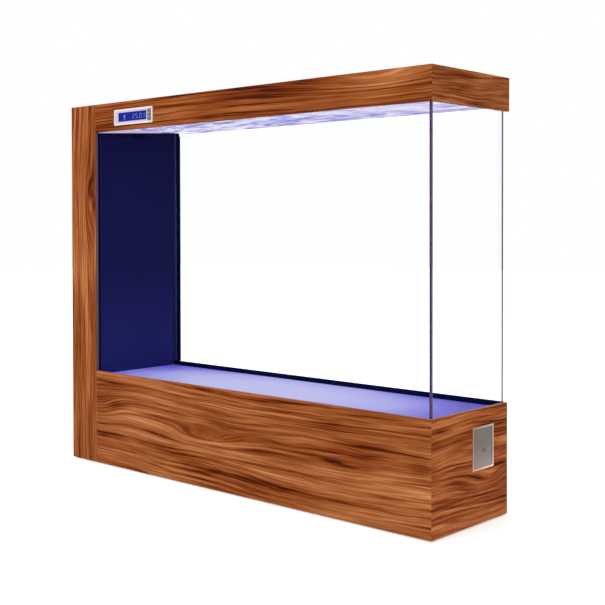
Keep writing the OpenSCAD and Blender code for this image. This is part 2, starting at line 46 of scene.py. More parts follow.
# Where a noise's values mostly lie
NOISE_LOW, NOISE_HIGH = 0.3, 0.7


class Graph:
    """A small wrapper around one material's node tree. place is a point's position in the row frame."""

    def __init__(self, name):
        self.mat = bpy.data.materials.new(name)
        self.mat.use_nodes = True
        self.tree = self.mat.node_tree
        self.tree.nodes.clear()
        self.out = self.tree.nodes.new("ShaderNodeOutputMaterial")
        coords = self.tree.nodes.new("ShaderNodeTexCoord")
        self.place = coords.outputs["Object"]
        self.normal = coords.outputs["Normal"]

    def plug(self, socket, value):
        if isinstance(value, bpy.types.NodeSocket):
            self.tree.links.new(value, socket)
        elif value is not None:
            socket.default_value = value

    def math(self, op, a, b=None, c=None):
        n = self.tree.nodes.new("ShaderNodeMath")
        n.operation = op
        for socket, value in zip(n.inputs, (a, b, c)):
            self.plug(socket, value)
        return n.outputs[0]

    def split(self, vector):
        n = self.tree.nodes.new("ShaderNodeSeparateXYZ")
        self.plug(n.inputs[0], vector)
        return n.outputs

    def join(self, x, y, z=0.0):
        n = self.tree.nodes.new("ShaderNodeCombineXYZ")
        for socket, value in zip(n.inputs, (x, y, z)):
            self.plug(socket, value)
        return n.outputs[0]

    def scale(self, *pairs):
        """A vector made of two or three coordinates, each times its own factor."""
        return self.join(*(self.math("MULTIPLY", value, factor) for value, factor in pairs))

    def grain_axes(self, along):
        """The coordinate along a row axis, then the two others."""
        p = self.split(self.place)
        return [p[AXES[along]]] + [p[i] for i in range(3) if i != AXES[along]]

    def noise(self, vector, scale=1.0, detail=2.0, rough=0.5, distortion=0.0):
        n = self.tree.nodes.new("ShaderNodeTexNoise")
        self.plug(n.inputs["Vector"], vector)
        for key, value in (("Scale", scale), ("Detail", detail), ("Roughness", rough),
                           ("Distortion", distortion)):
            n.inputs[key].default_value = value
        return n.outputs["Fac"]

    def cells(self, vector, scale):
        n = self.tree.nodes.new("ShaderNodeTexVoronoi")
        self.plug(n.inputs["Vector"], vector)
        n.inputs["Scale"].default_value = scale
        return n.outputs["Distance"]

    def ramp(self, fac, stops):
        n = self.tree.nodes.new("ShaderNodeValToRGB")
        while len(n.color_ramp.elements) < len(stops):
            n.color_ramp.elements.new(0.5)
        for element, (place, colour) in zip(n.color_ramp.elements, stops):
            element.position = place
            element.color = (*colour, 1.0)
        self.plug(n.inputs[0], fac)
        return n.outputs[0]

    def mottle(self, noise, dark, light):
        """A colour that goes from dark to light over a noise's usual range."""
        return self.ramp(noise, [(NOISE_LOW, dark), (NOISE_HIGH, light)])

    def level(self, fac, low, high, to_low=0.0, to_high=1.0):
        n = self.tree.nodes.new("ShaderNodeMapRange")
        n.clamp = True
        for key, value in (("Value", fac), ("From Min", low), ("From Max", high),
                           ("To Min", to_low), ("To Max", to_high)):
            self.plug(n.inputs[key], value)
        return n.outputs[0]

    def vary(self, noise, low, high):
        """A number that goes from low to high over a noise's usual range."""
        return self.level(noise, NOISE_LOW, NOISE_HIGH, low, high)

    def mix(self, fac, a, b, blend="MIX"):
        n = self.tree.nodes.new("ShaderNodeMix")
        n.data_type = "RGBA"
        n.blend_type = blend
        self.plug(n.inputs["Factor"], fac)
        for key, value in (("A", a), ("B", b)):
            self.plug(n.inputs[key], value if isinstance(value, bpy.types.NodeSocket) else (*value, 1.0))
        return n.outputs["Result"]

    def speckle(self, colour, noise, depth):
        """A colour, darkened where a fine noise is low."""
        return self.mix(self.vary(noise, depth, 0.0), colour, (0.5, 0.5, 0.5), "MULTIPLY")

    def bump(self, height, strength, distance):
        n = self.tree.nodes.new("ShaderNodeBump")
        n.inputs["Strength"].default_value = strength
        n.inputs["Distance"].default_value = distance
        self.plug(n.inputs["Height"], height)
        return n.outputs[0]

    def principled(self, **values):
        """A Principled shader, its sockets named with underscores."""
        n = self.tree.nodes.new("ShaderNodeBsdfPrincipled")
        for key, value in values.items():
            if isinstance(value, tuple):
                value = (*value, 1.0)
            self.plug(n.inputs[key.replace("_", " ")], value)
        return n.outputs[0]

    def blend(self, fac, first, second):
        """Two shaders mixed."""
        n = self.tree.nodes.new("ShaderNodeMixShader")
        for socket, value in zip(n.inputs, (fac, first, second)):
            self.plug(socket, value)
        return n.outputs[0]

    def wear(self, shader):
        """The finished material, with this shader as its surface."""
        self.tree.links.new(shader, self.out.inputs[0])
        return self.mat

    def surface(self, **values):
        """The finished material, with one Principled shader as its surface."""
        return self.wear(self.principled(**values))


def scaled(colour, factor):
    """A colour made darker or lighter."""
    return tuple(min(1.0, v * factor) for v in colour)


def reach_squared(g, a, c, a0, c0, half_a, half_c):
    """The squared distance from a spot's centre, where 1 lies at its half sizes."""
    da = g.math("DIVIDE", g.math("SUBTRACT", a, a0), half_a)
    dc = g.math("DIVIDE", g.math("SUBTRACT", c, c0), half_c)
    return g.math("ADD", g.math("MULTIPLY", da, da), g.math("MULTIPLY", dc, dc))


def blob(g, a, c, a0, c0, half_a, half_c):
    """A soft spot: 1 at its centre, fading out over its half sizes."""
    return g.math("EXPONENT", g.math("MULTIPLY", reach_squared(g, a, c, a0, c0, half_a, half_c), -1.0))


# ---- Wood ----

# Veneer tones from the darkest pore to the palest streak, with their places on the ramp
WOOD_TONES = [
    (0.00, (0.036, 0.006, 0.0010)), (0.13, (0.127, 0.021, 0.002)), (0.25, (0.162, 0.035, 0.005)),
    (0.37, (0.198, 0.051, 0.011)), (0.50, (0.248, 0.075, 0.020)), (0.63, (0.305, 0.101, 0.031)),
    (0.75, (0.360, 0.130, 0.045)), (0.87, (0.408, 0.159, 0.061)), (1.00, (0.487, 0.216, 0.091)),
]
KNOT_DARK = (0.030, 0.008, 0.004)
FIBRE_TINT = (0.55, 0.42, 0.34)
# How strongly each layer of figure counts in the tone
BANDS, PATCH, RINGS, STREAKS, LINES = 1.00, 0.75, 1.05, 1.20, 1.35
# How far apart the noises of two seeds lie
SEED_STEP = 3.17
# A face counts as looking along an axis when its normal's share of that axis is above this
FACING = 0.7


def wood(name, along, across, seed, bumps=(), knots=(), smudges=(), gain=1.0, warm=1.0, stretch=1.0,
         level=0.0, sway=0.07, cut=None):
    """Veneer with its grain along one row axis and its width across another. Lengths are in metres.

    bumps: places (along, across, half length, half width, height) where the growth rings swell into arches
    knots: places (along, across, radius)
    smudges: drawn-out patches (along, across, half length, half width, strength), pale if strength is below 0
    gain, warm: brightness, and the share of it that green keeps (blue keeps its square)
    stretch: how closely the figure repeats along the grain
    level: a shift of the whole tone, darker below 0
    sway: how far the grain drifts across
    cut: a plain face (row axis, side, colour, strength of a glow of painted lamp light on it)
    """
    g = Graph(name)
    p = g.split(g.place)
    a, c = p[AXES[along]], p[AXES[across]]
    d = p[3 - AXES[along] - AXES[across]]
    shift = seed * SEED_STEP

    # The field is the place across the grain, bent by slow noises. Noise scales are per metre
    drift = g.noise(g.join(g.math("MULTIPLY_ADD", a, 1.3 * stretch, shift),
                           g.math("MULTIPLY_ADD", c, 3.2, shift)), detail=1.5, rough=0.45)
    wander = g.noise(g.join(g.math("MULTIPLY_ADD", a, 6.5 * stretch, -shift), g.math("MULTIPLY", c, 15.0)))
    field = g.math("MULTIPLY_ADD", drift, sway, c)
    field = g.math("MULTIPLY_ADD", wander, 0.008, field)
    field = g.math("MULTIPLY_ADD", d, 0.35, field)
    for *spot, height in bumps:
        field = g.math("MULTIPLY_ADD", blob(g, a, c, *spot), height, field)

    def layer(across_scale, along_scale, offset, detail, rough):
        where = g.join(g.math("MULTIPLY_ADD", field, across_scale, offset),
                       g.math("MULTIPLY", a, along_scale * stretch), offset)
        return g.noise(where, detail=detail, rough=rough)

    def cloud(along_scale, across_scale, offset):
        return g.noise(g.join(g.math("MULTIPLY_ADD", a, along_scale * stretch, offset),
                              g.math("MULTIPLY", field, across_scale)))

    bands = layer(17.0, 1.5, -shift, 2.0, 0.5)
    rings = layer(64.0, 1.1, shift, 3.5, 0.62)
    streaks = layer(130.0, 3.0, shift * 2, 2.0, 0.6)
    lines = layer(270.0, 5.5, shift * 3, 2.0, 0.65)
    patch = cloud(2.6, 10.0, shift * 2)
    stain = cloud(4.0, 40.0, shift * 3)
    fibre = g.noise(g.scale((c, 900.0), (a, 42.0), (d, 300.0)), rough=0.65)

    # Thin dark growth lines, each where a slow noise crosses its middle value, fading in and out
    contour = layer(48.0, 0.8, shift * 5, 1.0, 0.5)
    thin = g.level(g.math("ABSOLUTE", g.math("SUBTRACT", contour, 0.5)), 0.0, 0.050, 1.0, 0.0)
    fading = g.level(patch, 0.36, 0.55)

    total = level - 0.5 * (BANDS + PATCH + RINGS + STREAKS + LINES)
    for value, weight in ((bands, BANDS), (patch, PATCH), (rings, RINGS), (streaks, STREAKS), (lines, LINES)):
        total = g.math("MULTIPLY_ADD", value, weight, total)
    tone = g.level(total, -0.62, 0.62)
    tone = g.math("SUBTRACT", tone, g.level(stain, 0.60, 0.78, 0.0, 0.30))
    tone = g.math("MULTIPLY_ADD", g.math("MULTIPLY", thin, fading), -0.40, tone)
    ragged = g.math("MULTIPLY_ADD", wander, 1.2, g.math("MULTIPLY_ADD", streaks, 1.2, -0.2))
    for *spot, strength in smudges:
        tone = g.math("MULTIPLY_ADD", g.math("MULTIPLY", blob(g, a, c, *spot), ragged), -strength, tone)

    colour = g.ramp(tone, WOOD_TONES)
    colour = g.mix(g.level(fibre, 0.30, 0.75, 0.30, 0.0), colour, FIBRE_TINT, "MULTIPLY")
    for a0, c0, radius in knots:
        reach = g.math("SQRT", reach_squared(g, a, c, a0, c0, radius * 1.5, radius))
        reach = g.math("MULTIPLY_ADD", wander, 0.9, reach)
        colour = g.mix(g.level(reach, 0.75, 1.6, 0.85, 0.0), colour, KNOT_DARK)
    colour = g.mix(1.0, colour, (gain, gain * warm, gain * warm * warm), "MULTIPLY")
    glow = 0.0
    if cut:
        axis, side, shade, lamp_light = cut
        plain = g.math("GREATER_THAN", g.math("MULTIPLY", g.split(g.normal)[AXES[axis]], side), FACING)
        colour = g.mix(plain, colour, g.mix(g.level(fibre, 0.35, 0.65), shade, scaled(shade, 0.8)))
        glow = g.math("MULTIPLY", plain, lamp_light)

    relief = g.math("ADD", g.math("MULTIPLY", fibre, 0.6), g.math("MULTIPLY", lines, 0.4))
    return g.surface(
        Base_Color=colour, Roughness=g.vary(fibre, 0.55, 0.42), Specular_IOR_Level=0.02,
        Normal=g.bump(relief, 0.25, 0.0006), Emission_Color=(1.0, 0.99, 1.0), Emission_Strength=glow,
    )


def plain_board(name, along, seed):
    """Unveneered birch-coloured board, faintly grained."""
    g = Graph(name)
    a, b, c = g.grain_axes(along)
    grain = g.noise(g.join(g.math("MULTIPLY_ADD", a, 2.0, seed), g.math("MULTIPLY", b, 60.0),
                           g.math("MULTIPLY", c, 60.0)), detail=4.0, rough=0.6)
    fleck = g.noise(g.place, scale=240.0)
    colour = g.ramp(grain, [(0.3, (0.20, 0.085, 0.035)), (0.55, (0.34, 0.16, 0.07)),
                            (0.75, (0.44, 0.23, 0.11))])
    colour = g.mix(g.level(fleck, 0.55, 0.7, 0.0, 0.25), colour, (0.14, 0.06, 0.03))
    return g.surface(Base_Color=colour, Roughness=0.62, Specular_IOR_Level=0.25,
                     Normal=g.bump(grain, 0.2, 0.0006))


# ---- Plastic and metal ----

def plastic(name, colour, roughness=0.4, grain=900.0, shade=0.18, specular=0.4, coat=0.0, relief=0.12):
    """Moulded plastic or rubber: fine texture, slight mottling."""
    g = Graph(name)
    fine = g.noise(g.place, scale=grain)
    broad = g.noise(g.place, scale=14.0, detail=3.0)
    return g.surface(
        Base_Color=g.mottle(broad, scaled(colour, 1 - shade), scaled(colour, 1 + shade)),
        Roughness=g.vary(fine, roughness * 0.9, min(1.0, roughness * 1.12)),
        Specular_IOR_Level=specular, Coat_Weight=coat, Coat_Roughness=0.12,
        Normal=g.bump(fine, relief, 0.0004) if relief else None,
    )


def brushed(name, colour, along, roughness=0.34, metallic=1.0):
    """Brushed steel, its strokes along one axis."""
    g = Graph(name)
    a, b, c = g.grain_axes(along)
    strokes = g.noise(g.scale((a, 30.0), (b, 1800.0), (c, 1800.0)), rough=0.6)
    broad = g.noise(g.place, scale=22.0, detail=3.0)
    tone = g.math("MULTIPLY_ADD", strokes, 0.5, g.math("MULTIPLY", broad, 0.5))
    return g.surface(
        Base_Color=g.ramp(tone, [(0.35, scaled(colour, 0.80)), (0.65, scaled(colour, 1.18))]),
        Metallic=metallic, Roughness=g.vary(strokes, roughness * 0.8, roughness * 1.3),
        Normal=g.bump(strokes, 0.10, 0.0003),
    )


def plate(name, top, bottom, near, far, foot, lift):
    """Lacquered plate, turning from one colour at its bottom to another at its top, with a tint on each
    upright side: painted light and shade. near and far are (place, tint) of its two upright sides along Y;
    foot and lift are the heights between which the colour turns."""
    g = Graph(name)
    p = g.split(g.place)
    strokes = g.noise(g.scale((p[0], 1500.0), (p[1], 1500.0), (p[2], 25.0)), rough=0.6)
    cloud = g.noise(g.place, scale=45.0)
    height = g.math("MULTIPLY_ADD", cloud, 0.3, g.level(p[2], foot, lift, -0.15, 0.85))
    colour = g.mix(g.math("MAXIMUM", g.math("MINIMUM", height, 1.0), 0.0), bottom, top)
    side = g.level(p[1], near[0], far[0])
    colour = g.mix(1.0, colour, g.mix(side, near[1], far[1]), "MULTIPLY")
    return g.surface(Base_Color=g.speckle(colour, strokes, 0.16), Metallic=0.15,
                     Roughness=g.vary(strokes, 0.40, 0.55), Specular_IOR_Level=0.15,
                     Normal=g.bump(strokes, 0.08, 0.0003))


def foam(name):
    """Open blue filter foam."""
    g = Graph(name)
    pores = g.cells(g.place, 420.0)
    colour = g.ramp(pores, [(0.10, (0.010, 0.022, 0.055)), (0.45, (0.06, 0.13, 0.30))])
    return g.surface(Base_Color=colour, Roughness=0.95, Specular_IOR_Level=0.1,
                     Normal=g.bump(pores, 0.9, 0.002))


def bezel(name, low, high, window_right):
    """Controller case: cream raised border, lavender-grey face, and a painted sheen and shade, a soft dark
    gradient, beside the window.
    """
    border = 0.0052
    g = Graph(name)
    p = g.split(g.place)
    inset_x, inset_z = (g.math("MINIMUM", g.math("SUBTRACT", p[i], low[i]), g.math("SUBTRACT", high[i], p[i]))
                        for i in (AXES["X"], AXES["Z"]))
    inner = g.level(g.math("MINIMUM", inset_x, inset_z), border * 0.8, border * 1.2)
    # The face darkens to the right of the window: painted sheen and shade.
    painted_sheen = g.level(p[0], window_right, high.x)
    face = g.ramp(painted_sheen, [(0.0, (0.37, 0.34, 0.43)), (0.25, (0.36, 0.36, 0.41)),
                          (0.65, (0.095, 0.105, 0.110)), (1.0, (0.085, 0.090, 0.090))])
    return g.surface(Base_Color=g.mix(inner, (0.56, 0.48, 0.46), face), Metallic=0.05,
                     Roughness=g.vary(g.noise(g.place, scale=1200.0), 0.35, 0.45), Specular_IOR_Level=0.15)


# ---- Glass, sealant and navy trim ----

# Ground glass edges, tinted as painted reflections, and the dark line of painted shade along an edge's arris
EDGE_REFLECTION_TINT, REAR_EDGE_REFLECTION_TINT = (0.205, 0.191, 0.342), (0.170, 0.158, 0.295)
ARRIS_SHADE_DARK, ARRIS_SHADE_NAVY = (0.046, 0.018, 0.074), (0.020, 0.020, 0.130)


def clear_sheet(g):
    """The broad faces of a pane: clear, and mirroring the room only in glancing views."""
    clear = g.tree.nodes.new("ShaderNodeBsdfTransparent")
    clear.inputs["Color"].default_value = (0.998, 0.9995, 1.0, 1.0)
    gloss = g.tree.nodes.new("ShaderNodeBsdfGlossy")
    gloss.inputs["Roughness"].default_value = 0.02
    gloss.inputs["Color"].default_value = (0.9, 0.93, 1.0, 1.0)
    fresnel = g.tree.nodes.new("ShaderNodeFresnel")
    fresnel.inputs["IOR"].default_value = 1.10
    outside = g.math("SUBTRACT", 1.0, g.tree.nodes.new("ShaderNodeNewGeometry").outputs["Backfacing"])
    # No mirroring where it is looked at squarely, and never more than this share
    most = 0.45
    mirror = g.level(fresnel.outputs[0], 0.03, 0.50, 0.0, most)
    return g.blend(g.math("MULTIPLY", mirror, outside), clear.outputs[0], gloss.outputs[0])


def ground_edge(g, tint, alpha, arris, arris_shade):
    """The cut edges of a pane: ground and half clear, tinted as a painted reflection, with a dark line of
    painted shade along one arris.
    """
    colour = g.mottle(g.noise(g.place, scale=160.0), scaled(tint, 0.85), tint)
    if arris:
        axis, place, width = arris
        away = g.math("ABSOLUTE", g.math("SUBTRACT", g.split(g.place)[AXES[axis]], place))
        near = g.level(away, width * 0.7, width, 1.0, 0.0)
        colour = g.mix(near, colour, arris_shade)
        alpha = g.math("MULTIPLY_ADD", near, 1.0 - alpha, alpha)
    return g.principled(Base_Color=colour, Alpha=alpha, Roughness=0.4, Specular_IOR_Level=0.05)


def pane(name, faces, tint=EDGE_REFLECTION_TINT, alpha=0.85, arris=None, arris_shade=ARRIS_SHADE_DARK, bevel=None):
    """Clear float glass whose two broad faces look along the row axis faces. alpha is how solid its cut edges
    are; arris is (row axis, place, width) of a dark line of painted shade along one of them; bevel is (place,
    width), along X, of the strip of the broad faces that looks like an edge."""
    g = Graph(name)
    broad = g.math("GREATER_THAN", g.math("ABSOLUTE", g.split(g.normal)[AXES[faces]]), 0.5)
    if bevel:
        place, width = bevel
        broad = g.math("MULTIPLY", broad, g.math("LESS_THAN", g.split(g.place)[0], place - width))
    return g.wear(g.blend(broad, ground_edge(g, tint, alpha, arris, arris_shade), clear_sheet(g)))


def sealant(name, near, far):
    """Silicone beads: navy by the partition, fading to clear about the tank's middle, with one tint in front
    and one behind."""
    g = Graph(name)
    p = g.split(g.place)
    cleared = g.level(p[0], -0.2, 0.2)
    behind = g.level(p[1], -0.05, 0.05)
    colour = g.speckle(g.mix(behind, near, far), g.noise(g.place, scale=300.0), 0.25)
    alpha = g.math("SUBTRACT", 1.0, g.math("MULTIPLY", cleared, 0.97))
    return g.surface(Base_Color=colour, Roughness=0.5, Specular_IOR_Level=0.05, Alpha=alpha)


def navy_with_painted_light(name, pale, dark, painted_light_x):
    """Matt trim, paler up to painted_light_x on its face towards the tank's front; that paler strip is
    painted light.
    """
    g = Graph(name)
    facing = g.math("LESS_THAN", g.split(g.normal)[1], -FACING)
    beside = g.math("LESS_THAN", g.split(g.place)[0], painted_light_x)
    colour = g.mix(g.math("MULTIPLY", facing, beside), dark, pale)
    colour = g.speckle(colour, g.noise(g.place, scale=600.0, detail=1.0), 0.15)
    return g.surface(Base_Color=colour, Roughness=0.6, Specular_IOR_Level=0.0)


def deep_navy(name, colour, top, foot, lit_z, lit_slope):
    """The partition's smooth navy sheet, brighter towards its foot, where the lit floor shines on it. Above a
    line that is at lit_z in the middle and climbs towards the rear it carries the lamp's lavender light."""
    floor_shine_h = 0.35
    g = Graph(name)
    p = g.split(g.place)
    broad = g.noise(g.place, scale=3.0)
    light = g.math("MULTIPLY_ADD", broad, 0.24, g.level(p[2], top, foot, 0.78, 1.12))
    light = g.math("ADD", light, g.level(p[2], foot + floor_shine_h, foot, 0.0, 1.05))
    line = g.math("MULTIPLY_ADD", p[1], lit_slope, lit_z)
    lavender = g.ramp(broad, [(0.35, (0.46, 0.39, 0.54)), (0.65, (0.60, 0.52, 0.72))])
    return g.surface(
        Base_Color=g.scale(*((light, v) for v in colour)),
        Roughness=g.vary(g.noise(g.place, scale=700.0, detail=1.0), 0.5, 0.6), Specular_IOR_Level=0.0,
        Emission_Color=lavender, Emission_Strength=g.level(g.math("SUBTRACT", p[2], line), -0.001, 0.002),
    )


# ---- Lit surfaces ----

def glowing(name, colour, base, roughness=0.35):
    """An evenly lit part whose glow is mottled a little."""
    g = Graph(name)
    lit = g.mottle(g.noise(g.place, scale=40.0), scaled(colour, 0.93), colour)
    return g.surface(Base_Color=base, Roughness=roughness, Specular_IOR_Level=0.04, Emission_Color=lit,
                     Emission_Strength=1.0)


def lit_floor(name, centre, half):
    """Frosted sheet lit from above: pale in the middle, violet towards its ends and its rear."""
    g = Graph(name)
    p = g.split(g.place)
    reach = g.math("SQRT", reach_squared(g, p[0], p[1], *centre, *half))
    cloud = g.noise(g.place, scale=5.0, detail=3.0)
    reach = g.math("ADD", reach, g.math("MULTIPLY_ADD", cloud, 0.24, -0.12))
    lit = g.ramp(reach, [(0.30, (0.42, 0.42, 0.72)), (0.62, (0.32, 0.31, 0.70)),
                         (0.86, (0.12, 0.10, 0.55)), (1.0, (0.065, 0.055, 0.40))])
    grain = g.noise(g.place, scale=500.0)
    return g.surface(Base_Color=(0.03, 0.03, 0.05), Roughness=0.55, Specular_IOR_Level=0.12,
                     Emission_Color=lit, Emission_Strength=1.0, Normal=g.bump(grain, 0.1, 0.0004))


def rippled_light(name, white_x):
    """The lamp cover: lavender ripples, as of light off moving water, paling towards white_x at its right."""
    g = Graph(name)
    p = g.split(g.place)
    sway = g.noise(g.scale((p[0], 5.0), (p[1], 11.0)), scale=1.4)
    swept = g.join(g.math("MULTIPLY_ADD", p[1], 4.0, g.math("MULTIPLY", p[0], 8.5)),
                   g.math("MULTIPLY_ADD", sway, 1.3, g.math("MULTIPLY", p[1], 21.0)))
    ripple = g.noise(swept, scale=1.2, detail=4.0, rough=0.62, distortion=0.7)
    broad = g.noise(g.scale((p[0], 3.0), (p[1], 5.0)))
    tone = g.math("MULTIPLY_ADD", ripple, 0.74, g.math("MULTIPLY", broad, 0.26))
    # The ripples are stronger at the left end
    contrast = g.level(p[0], -0.40, 0.30, 2.7, 1.25)
    tone = g.math("MULTIPLY_ADD", g.math("SUBTRACT", tone, 0.5), contrast, 0.5)
    lit = g.ramp(tone, [(0.33, (0.23, 0.21, 0.57)), (0.45, (0.44, 0.42, 0.76)),
                        (0.54, (0.61, 0.59, 0.83)), (0.66, (0.85, 0.83, 0.96))])
    lit = g.mix(g.level(p[0], white_x - 0.10, white_x + 0.15, 0.0, 0.35), lit, (0.95, 0.94, 1.0))
    return g.surface(Base_Color=(0.02, 0.02, 0.03), Roughness=0.6, Specular_IOR_Level=0.0, Emission_Color=lit,
                     Emission_Strength=1.0)


# ---- Mesh helpers ----

def dress(node, material):
    """Gives a CAD node its material."""
    for s in nodes[node].material_slots:
        s.material = material


def soften(node, width, segments=2):
    """Eases a CAD node's arrises."""
    m = nodes[node].modifiers.new("ease", "BEVEL")
    m.width = width
    m.segments = segments
    m.limit_method = "ANGLE"
    m.angle_limit = math.radians(35)
    m.harden_normals = True


def box_into(bm, low, high):
    """A box between its lowest and highest corners."""
    size = Vector(high) - Vector(low)
    centre = (Vector(high) + Vector(low)) / 2
    for v in bmesh.ops.create_cube(bm, size=1.0)["verts"]:
        v.co = v.co * size + centre


def rod_into(bm, centre, axis, radius, length, tip=None):
    """A cylinder, or a cone frustum if it has a tip radius, about a centre point and along a direction."""
    turn = Vector((0, 0, 1)).rotation_difference(Vector(axis)).to_matrix().to_4x4()
    bmesh.ops.create_cone(bm, cap_ends=True, segments=20, radius1=radius,
                          radius2=radius if tip is None else tip, depth=length,
                          matrix=Matrix.Translation(centre) @ turn)


def piece(name, bm, material, body):
    """Adds a modelled piece, which rides on a body and wears the given material."""
    mesh = bpy.data.meshes.new(name)
    bm.to_mesh(mesh)
    bm.free()
    mesh.materials.append(material)
    o = bpy.data.objects.new(name, mesh)
    bpy.context.scene.collection.objects.link(o)
    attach(o, body)


# ---- Wood panels ----

# How far the arrises of boards and small mouldings are eased
EASE = 0.0006
# The plain upper rim of the base's front and end boards
BASE_RIM = ("Z", 1.0, (0.30, 0.17, 0.16), 0.0)

WOODS = {
    "base_front_panel": wood(
        "wood_base_front", "X", "Z", 1.0, cut=BASE_RIM,
        bumps=[(-0.600, 0.190, 0.090, 0.050, 0.032), (-0.080, 0.152, 0.170, 0.026, 0.034),
               (0.300, 0.215, 0.20, 0.030, -0.022)],
        smudges=[(0.425, 0.158, 0.045, 0.008, 0.50), (0.340, 0.165, 0.090, 0.006, 0.30),
                 (0.490, 0.150, 0.050, 0.005, 0.25), (-0.285, 0.148, 0.080, 0.014, 0.22),
                 (-0.500, 0.205, 0.045, 0.012, 0.20), (0.090, 0.290, 0.160, 0.008, 0.22),
                 (0.715, 0.180, 0.035, 0.030, 0.22), (0.640, 0.115, 0.150, 0.028, -0.16),
                 (-0.080, 0.152, 0.150, 0.015, -0.20), (0.150, 0.060, 0.300, 0.010, 0.20),
                 (-0.590, 0.160, 0.160, 0.250, 0.15)]),
    # Its gain of 1.22 lightens the end board as painted light, making up for the lesser light on the end.
    "base_end_panel": wood(
        "wood_base_end", "Y", "Z", 4.3, stretch=1.3, gain=1.22, warm=0.92, cut=BASE_RIM,
        bumps=[(0.05, 0.11, 0.13, 0.030, 0.030)],
        smudges=[(-0.140, 0.275, 0.040, 0.007, 0.40), (0.090, 0.265, 0.050, 0.006, 0.25),
                 (-0.130, 0.190, 0.050, 0.045, -0.22), (0.110, 0.150, 0.050, 0.006, 0.20)]),
    "base_rear_panel": wood("wood_base_rear", "X", "Z", 9.1),
    "column_front_panel": wood(
        "wood_column_front", "Z", "X", 2.2, cut=("X", 1.0, (0.120, 0.070, 0.090), 0.0),
        knots=[(0.903, -0.640, 0.015)], bumps=[(0.88, -0.661, 0.13, 0.030, 0.035)],
        smudges=[(0.862, -0.634, 0.030, 0.007, 0.30), (1.02, -0.651, 0.12, 0.005, 0.20),
                 (0.862, -0.622, 0.060, 0.010, 0.30), (0.680, -0.680, 0.130, 0.200, -0.15),
                 (0.400, -0.680, 0.220, 0.200, 0.16)]),
    "column_side_panel": wood("wood_column_side", "Z", "Y", 6.4),
    # The column rear board's inner face is dark navy: painted shade inside the column.
    "column_rear_panel": wood("wood_column_rear", "Z", "X", 7.5, cut=("Y", -1.0, (0.005, 0.008, 0.040), 0.0)),
    "hood_front_panel": wood(
        "wood_hood_front", "X", "Z", 3.6, stretch=0.75, sway=0.03, level=-0.17,
        bumps=[(0.60, 1.175, 0.30, 0.030, 0.030)],
        smudges=[(0.60, 1.165, 0.28, 0.035, -0.36), (0.10, 1.150, 0.34, 0.090, 0.17)]),
    "hood_end_panel": wood(
        "wood_hood_end", "Y", "Z", 5.2, stretch=1.6, level=0.03,
        smudges=[(0.020, 1.114, 0.090, 0.006, 0.32), (-0.060, 1.186, 0.100, 0.006, 0.28)]),
    # The hood rear board's inner face is pale lavender and glows at 0.8: painted light from the lamp.
    "hood_rear_panel": wood("wood_hood_rear", "X", "Z", 8.7, cut=("Y", -1.0, (0.86, 0.84, 0.97), 0.8)),
    "canopy_lid": wood("wood_canopy_lid", "X", "Y", 10.3, bumps=[(0.1, -0.02, 0.32, 0.07, 0.09)]),
    "filter_lid": wood("wood_filter_lid", "Y", "X", 11.9, stretch=1.5),
}
for node, material in WOODS.items():
    dress(node, material)
    soften(node, EASE)
for node, along, seed in (("base_bottom_board", "X", 1.0), ("base_dividers", "Z", 2.0),
                          ("tank_deck", "X", 3.0), ("hinge_rail", "X", 4.0), ("hood_cleats", "X", 5.0)):
    dress(node, plain_board("board_" + node, along, seed))
    soften(node, EASE, 1)

# ---- Glass, partition and trim ----

front_low, front_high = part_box("glass_front")
rear_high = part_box("glass_rear")[1]
# The panes' edge tints and dark arris lines are painted reflection and shade.
dress("glass_front", pane("glass_front_pane", "Y", alpha=0.25, arris=("Y", front_low.y, 0.0036),
                          bevel=(front_high.x, 0.0025)))
dress("glass_rear", pane("glass_rear_pane", "Y", REAR_EDGE_REFLECTION_TINT, 0.45, arris=("Y", rear_high.y, 0.0070),
                         arris_shade=ARRIS_SHADE_NAVY))
dress("glass_right", pane("glass_right_pane", "X", alpha=0.06, arris=("Y", front_high.y, 0.0040)))
dress("glass_left", pane("glass_left_pane", "X"))
dress("glass_bottom", pane("glass_bottom_pane", "Z"))
dress("filter_baffle", pane("glass_baffle_pane", "Y"))

# The panes touch the pieces beside them; a hair's breadth keeps their faces apart
HAIR = 0.00008
for node in ("glass_front", "glass_rear", "glass_right", "glass_left"):
    slim = nodes[node].modifiers.new("hair", "DISPLACE")
    slim.mid_level = 0.0
    slim.strength = -HAIR

# The lamp's light reaches down to this height in the partition's middle, and stops higher towards the rear
LAMP_LINE_Z, LAMP_LINE_SLOPE = 1.1166, 0.060
partition_low, partition_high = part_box("partition_panel")
dress("partition_panel", deep_navy("partition_navy", (0.0072, 0.0082, 0.0525), partition_high.z,
                                   partition_low.z, LAMP_LINE_Z, LAMP_LINE_SLOPE))
# The post's face is dark over this width at its right edge; the rest of that face is paler, as painted light
POST_DARK_W = 0.0092
dress("rear_trim_post", navy_with_painted_light("post_navy", (0.060, 0.076, 0.245), (0.0020, 0.0034, 0.034),
                                   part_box("rear_trim_post")[1].x - POST_DARK_W))
dress("rear_trim_sill", plastic("sill_navy", (0.0032, 0.0052, 0.038), roughness=0.6, specular=0.0, relief=0))
# The front bead tint is made lighter than the beads' own, as painted light in the shaded front nook.
dress("corner_seals", sealant("seal_beads", (0.018, 0.018, 0.140), (0.0060, 0.0085, 0.062)))
# Where the floor's glow is palest, and how far it reaches along X and Y
GLOW_CENTRE, GLOW_HALF = (0.02, -0.055), (0.76, 0.34)
dress("tank_floor_panel", lit_floor("floor_glow", GLOW_CENTRE, GLOW_HALF))
dress("light_diffuser", rippled_light("lamp_cover_glow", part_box("light_diffuser")[1].x))

# ---- Filter, drain and other inner parts ----

